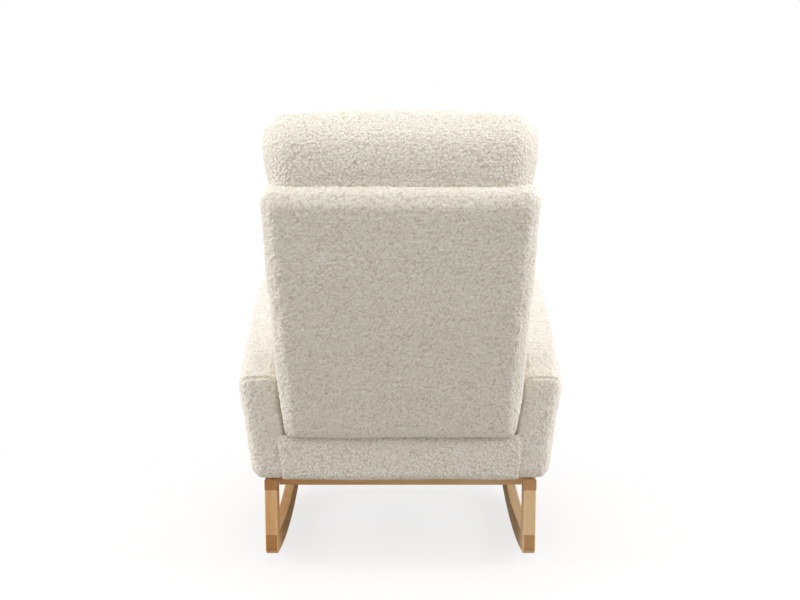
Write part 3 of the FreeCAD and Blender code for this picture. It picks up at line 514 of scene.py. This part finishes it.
def steel_material():
    """Zinc-plated steel with a faint mottle."""
    material, tree, shader, add = new_material("steel")
    place = add("ShaderNodeTexCoord").outputs["Object"]
    mottle = add("ShaderNodeTexNoise", {"Vector": place}, scale=180, detail=3)
    colour = add("ShaderNodeValToRGB", {"Fac": mottle.outputs["Fac"]})
    ramp(colour, [(0.3, (0.50, 0.51, 0.53)), (0.7, (0.66, 0.67, 0.69))])
    tree.links.new(colour.outputs["Color"], shader.inputs["Base Color"])
    shader.inputs["Metallic"].default_value = 1.0
    shader.inputs["Roughness"].default_value = 0.35
    return material


def woven_material(name, dark, light, pitch):
    """Plain weave of two crossing threads."""
    material, tree, shader, add = new_material(name)
    place = add("ShaderNodeTexCoord").outputs["Object"]
    warp = add("ShaderNodeTexWave", {"Vector": place}, bands_direction="X", scale=0.31 / pitch, distortion=0.4)
    weft = add("ShaderNodeTexWave", {"Vector": place}, bands_direction="Y", scale=0.31 / pitch, distortion=0.4)
    weave = add("ShaderNodeMath", {0: warp.outputs["Fac"], 1: weft.outputs["Fac"]}, operation="MULTIPLY")
    colour = add("ShaderNodeValToRGB", {"Fac": weave.outputs[0]})
    ramp(colour, [(0.1, dark), (0.8, light)])
    bump = add("ShaderNodeBump", {"Height": weave.outputs[0]}, strength=0.4, distance=0.0008)
    tree.links.new(colour.outputs["Color"], shader.inputs["Base Color"])
    tree.links.new(bump.outputs["Normal"], shader.inputs["Normal"])
    shader.inputs["Roughness"].default_value = 0.9
    return material


# Lowest stop: painted shade in the crevices between curls and along seams; the others are the cream's own tone
SHERPA_TONE_AND_CREVICE_SHADE_STOPS = [(0.3, (0.60, 0.54, 0.45)), (0.52, (0.80, 0.757, 0.68)), (0.8, (0.92, 0.895, 0.85))]
SHERPA = sherpa_material()
SHOW_WOOD_STOPS = [(0.3, (0.60, 0.315, 0.12)), (0.5, (0.76, 0.445, 0.195)), (0.7, (0.86, 0.60, 0.33))]
# Tones that the wood takes on its more lit side: painted light
SHOW_WOOD_SIDE_LIGHT_TONE = (0.90, 0.68, 0.43)
BOARD_STOPS = [(0.25, (0.55, 0.40, 0.24)), (0.5, (0.66, 0.50, 0.32)), (0.75, (0.74, 0.59, 0.40))]
BOARD_SIDE_LIGHT_TONE = (0.76, 0.62, 0.44)
SHOW_WOOD_ROUGHNESS = 0.58
BOARD_ROUGHNESS = 0.7
SHOW_WOOD = {
    axis: wood_material("show_wood_" + axis, axis, SHOW_WOOD_STOPS, SHOW_WOOD_SIDE_LIGHT_TONE, SHOW_WOOD_ROUGHNESS)
    for axis in GRAIN_SCALES
}
BOARD = {
    axis: wood_material("frame_board_" + axis, axis, BOARD_STOPS, BOARD_SIDE_LIGHT_TONE, BOARD_ROUGHNESS)
    for axis in GRAIN_SCALES
}
STEEL = steel_material()
WEBBING = woven_material("webbing", (0.06, 0.06, 0.065), (0.16, 0.16, 0.17), 0.0022)
DUST_CLOTH = woven_material("dust_cloth", (0.012, 0.012, 0.013), (0.035, 0.035, 0.037), 0.0012)

# Finishes by the ends of the nodes' names, of which the last that fits counts; all else is steel
FINISHES = {
    "rocker": SHOW_WOOD["Y"],
    "side_rail": SHOW_WOOD["Y"],
    "leg": SHOW_WOOD["Z"],
    "cross_rail": SHOW_WOOD["X"],
    "stretcher": SHOW_WOOD["X"],
    "dowels": SHOW_WOOD["Z"],
    "arm_panel": BOARD["Y"],
    "head_panel": BOARD["X"],
    "stile": BOARD["Z"],
    "back_top_rail": BOARD["X"],
    "back_middle_rail": BOARD["X"],
    "back_bottom_rail": BOARD["X"],
    "seat_front_rail": BOARD["X"],
    "seat_rear_rail": BOARD["X"],
    "seat_rail": BOARD["Y"],
    "corner_blocks": BOARD["Z"],
    "webbing": WEBBING,
    "webbing_cross": WEBBING,
    "webbing_long": WEBBING,
    "dust_cover": DUST_CLOTH,
}


def finish_nodes():
    """Gives every rigid node of the frame its material."""
    for name, node in nodes.items():
        found = [finish for ending, finish in FINISHES.items() if name.endswith(ending)]
        node.data.materials.clear()
        node.data.materials.append(found[-1] if found else STEEL)


# Soft pieces: the form that each starts from and how far inside it, in metres, how far it swells
# and how full it is, whether its cover is pulled tight over a board, and where it is tucked in
SoftPiece = namedtuple("SoftPiece", "make shrink limit fill tight tuck")
SEAT_BOX = ("seat_front_band", "seat_rear_band", "left_seat_rail", "right_seat_rail", "seat_deck_pad")
INTO_THE_BACK = [(-UP_THE_BACK, 0.004, 0.010)]
INTO_THE_ARMS = [(SIDEWAYS, 0.03, 0.008), (-SIDEWAYS, 0.03, 0.008)]
UNDER_THE_ARMS = [(SIDEWAYS, 0.03, 0.013), (-SIDEWAYS, 0.03, 0.013)]
BEHIND_THE_ARMS = [(UPWARDS, 0.004, 0.014)]
UNDER_THE_CUSHIONS = [(FORWARDS, 0.02, 0.006), (-FORWARDS, 0.02, 0.075)]
SOFT_PIECES = {
    "head_cushion": SoftPiece("head", 0.001, 0.0025, 0.7, True, INTO_THE_BACK),
    "back_cover": SoftPiece("hull", 0.001, 0.004, 0.9, True, []),
    "back_cushion": SoftPiece("copy", 0.004, 0.012, 0.7, False, []),
    "seat_cushion": SoftPiece("copy", 0.004, 0.012, 0.7, False, []),
    "left_arm_cover": SoftPiece("arm", 0.001, 0.004, 0.9, True, []),
    "right_arm_cover": SoftPiece("arm", 0.001, 0.004, 0.9, True, []),
    "seat_front_band": SoftPiece("copy", 0.001, 0.003, 0.9, True, INTO_THE_ARMS),
    "seat_rear_band": SoftPiece("copy", 0.001, 0.003, 0.9, True, BEHIND_THE_ARMS + INTO_THE_ARMS),
    "seat_deck_pad": SoftPiece("copy", 0.001, 0.003, 0.8, True, UNDER_THE_CUSHIONS + UNDER_THE_ARMS),
}


def start_form(node):
    """The plain closed form that a soft piece starts from."""
    soft = SOFT_PIECES[node]
    name = node + "_soft"
    if soft.make == "copy":
        mesh = nodes[node].data.copy()
    else:
        mesh = hull_mesh(name, head_points() if soft.make == "head" else node_points(node))
    piece = new_piece(name, mesh)
    if soft.make == "arm":
        cut(piece, hull_mesh("seat_box", node_points(*SEAT_BOX)))
    if node == "back_cover":
        spread_back_foot(piece.data)
    for direction, end, depth in soft.tuck:
        tuck(piece.data, direction, end, depth)
    even_mesh(piece, soft.shrink)
    return piece


def make_soft_pieces():
    """All padded pieces, swollen, covered in pile and set on their bodies."""
    pieces = {node: start_form(node) for node in SOFT_PIECES}
    swell(pieces)
    for node, piece in pieces.items():
        refine(piece)
        grow_pile(node, piece)
        if node.endswith(("arm_cover", "band")):
            keep_above(piece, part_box(node)[0].z)
        piece.data.shade_smooth()
        piece.data.materials.clear()
        piece.data.materials.append(SHERPA)
        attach(piece, "cushion" if node == "seat_cushion" else "chair")
        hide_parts(node)


SHEET_STEPS = 40
SHEET_SAG = 0.005
SHEET_RIPPLE = 0.0012
SHEET_RIPPLE_SIZE = 0.05
SHEET_RIPPLE_SALT = 41
SHEET_THICKNESS = 0.0008


def make_dust_sheet():
    """The dark cloth under the seat: stapled along its edges, sagging a little between them."""
    low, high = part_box("dust_cover")
    shares = np.linspace(0, 1, SHEET_STEPS + 1)
    across, along = (grid.ravel() for grid in np.meshgrid(shares, shares))
    points = np.zeros((len(across), 3))
    points[:, 0] = low.x + across * (high.x - low.x)
    points[:, 1] = low.y + along * (high.y - low.y)
    sag = 16 * across * (1 - across) * along * (1 - along)
    ripple = unevenness(points * (1, 1, 0), SHEET_RIPPLE_SIZE, SHEET_RIPPLE_SALT)
    ripple *= np.sqrt(np.minimum(sag, 1 - sag).clip(0))
    points[:, 2] = high.z - SHEET_THICKNESS - SHEET_SAG * sag - SHEET_RIPPLE * ripple
    row = SHEET_STEPS + 1
    corners = [step * row + place for step in range(SHEET_STEPS) for place in range(SHEET_STEPS)]
    faces = [(corner, corner + 1, corner + row + 1, corner + row) for corner in corners]
    mesh = bpy.data.meshes.new("dust_sheet")
    mesh.from_pydata(points.tolist(), [], faces)
    mesh.shade_smooth()
    mesh.materials.append(DUST_CLOTH)
    sheet = new_piece("dust_sheet", mesh)
    body = sheet.modifiers.new("body", "SOLIDIFY")
    body.thickness = SHEET_THICKNESS
    bake(sheet)
    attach(sheet, "chair")
    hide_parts("dust_cover")


AMBIENT_COLOUR = (1.0, 0.96, 0.895, 1)
AMBIENT_STRENGTH = 0.30


def make_world():
    """Even light from all round, and white where the camera, gloss or glass sees past the chair."""
    world = bpy.data.worlds.new("studio")
    scene.world = world
    world.use_nodes = True
    tree = world.node_tree
    ambient = tree.nodes["Background"]
    ambient.inputs["Color"].default_value = AMBIENT_COLOUR
    ambient.inputs["Strength"].default_value = AMBIENT_STRENGTH
    white = tree.nodes.new("ShaderNodeBackground")
    white.inputs["Color"].default_value = (1, 1, 1, 1)
    path = tree.nodes.new("ShaderNodeLightPath")
    seen = tree.nodes.new("ShaderNodeMath")
    seen.operation = "MAXIMUM"
    tree.links.new(path.outputs["Is Camera Ray"], seen.inputs[0])
    tree.links.new(path.outputs["Is Glossy Ray"], seen.inputs[1])
    clear = tree.nodes.new("ShaderNodeMath")
    clear.operation = "MAXIMUM"
    tree.links.new(seen.outputs[0], clear.inputs[0])
    tree.links.new(path.outputs["Is Transmission Ray"], clear.inputs[1])
    mix = tree.nodes.new("ShaderNodeMixShader")
    tree.links.new(clear.outputs[0], mix.inputs["Fac"])
    tree.links.new(ambient.outputs[0], mix.inputs[1])
    tree.links.new(white.outputs[0], mix.inputs[2])
    tree.links.new(mix.outputs[0], tree.nodes["World Output"].inputs["Surface"])


FLOOR_HALF = 6.0
SHADOW_REACH = 1.3
SHADOW_SHARE = 0.28


def make_floor():
    """A plain pale floor that keeps the chair's shadow."""
    mesh = bpy.data.meshes.new("floor")
    corners = [(-FLOOR_HALF, -FLOOR_HALF, 0), (FLOOR_HALF, -FLOOR_HALF, 0),
               (FLOOR_HALF, FLOOR_HALF, 0), (-FLOOR_HALF, FLOOR_HALF, 0)]
    mesh.from_pydata(corners, [], [(0, 1, 2, 3)])
    floor = new_piece("floor", mesh)
    material, tree, shader, add = new_material("floor")
    shader.inputs["Roughness"].default_value = 1.0
    shader.inputs["Specular IOR Level"].default_value = 0.0
    path = add("ShaderNodeLightPath")
    paint = add("ShaderNodeMixRGB", {"Fac": path.outputs["Is Camera Ray"]})
    paint.inputs["Color1"].default_value = (0.55, 0.54, 0.52, 1)
    paint.inputs["Color2"].default_value = (0.85, 0.85, 0.85, 1)
    tree.links.new(paint.outputs["Color"], shader.inputs["Base Color"])
    glow = add("ShaderNodeEmission", strength=1.0)
    place = add("ShaderNodeTexCoord").outputs["Object"]
    near = add("ShaderNodeTexGradient", gradient_type="SPHERICAL")
    scaled = add("ShaderNodeMapping", {"Vector": place}, Scale=[1 / SHADOW_REACH] * 3)
    tree.links.new(scaled.outputs[0], near.inputs["Vector"])
    white = add("ShaderNodeMath", {0: near.outputs["Fac"]}, operation="MULTIPLY_ADD")
    white.inputs[1].default_value = -SHADOW_SHARE
    white.inputs[2].default_value = 1
    share = add("ShaderNodeMath", {0: path.outputs["Is Camera Ray"], 1: white.outputs[0]}, operation="MULTIPLY")
    mix = add("ShaderNodeMixShader", {"Fac": share.outputs[0], 1: shader.outputs[0], 2: glow.outputs[0]})
    tree.links.new(mix.outputs[0], tree.nodes["Material Output"].inputs["Surface"])
    mesh.materials.append(material)


LAMP_COLOUR = (1.0, 0.995, 0.985)


def add_lamp(name, place, aim, size, power):
    """A square soft lamp that faces a point, in metres and watts."""
    light = bpy.data.lights.new(name, "AREA")
    light.size = size
    light.energy = power
    light.color = LAMP_COLOUR
    lamp = bpy.data.objects.new(name, light)
    scene.collection.objects.link(lamp)
    lamp.location = place
    direction = lamp.location - Vector(aim)
    lamp.rotation_euler = direction.to_track_quat("Z", "Y").to_euler()


def make_lights():
    """Soft lamps overhead and on both sides, and two weaker ones in front and behind."""
    add_lamp("top", (0, 0.4, 4.2), (0, 0.1, 0.5), 2.4, 32)
    add_lamp("front", (0, -2.4, 2.2), (0, -0.2, 0.5), 1.2, 26)
    add_lamp("rear", (0, 1.25, 1.95), (0, 0.3, 0.7), 0.8, 10)
    add_lamp("left", (4.0, 0.4, 1.9), (0, 0, 0.6), 2.0, 130)
    add_lamp("right", (-4.0, 0.4, 1.9), (0, 0, 0.6), 2.0, 130)


def make_camera():
    """The camera straight behind the chair, looking a little down."""
    data = bpy.data.cameras.new("camera")
    data.sensor_width = SENSOR_WIDTH
    data.lens = CAMERA_LENS
    camera = bpy.data.objects.new("camera", data)
    scene.collection.objects.link(camera)
    camera.location = CAMERA_PLACE
    camera.rotation_euler = (radians(90 - CAMERA_PITCH), 0, radians(180))
    scene.camera = camera


make_camera()
finish_nodes()
make_soft_pieces()
make_dust_sheet()
make_world()
make_floor()
make_lights()
scene.view_settings.view_transform = "Standard"
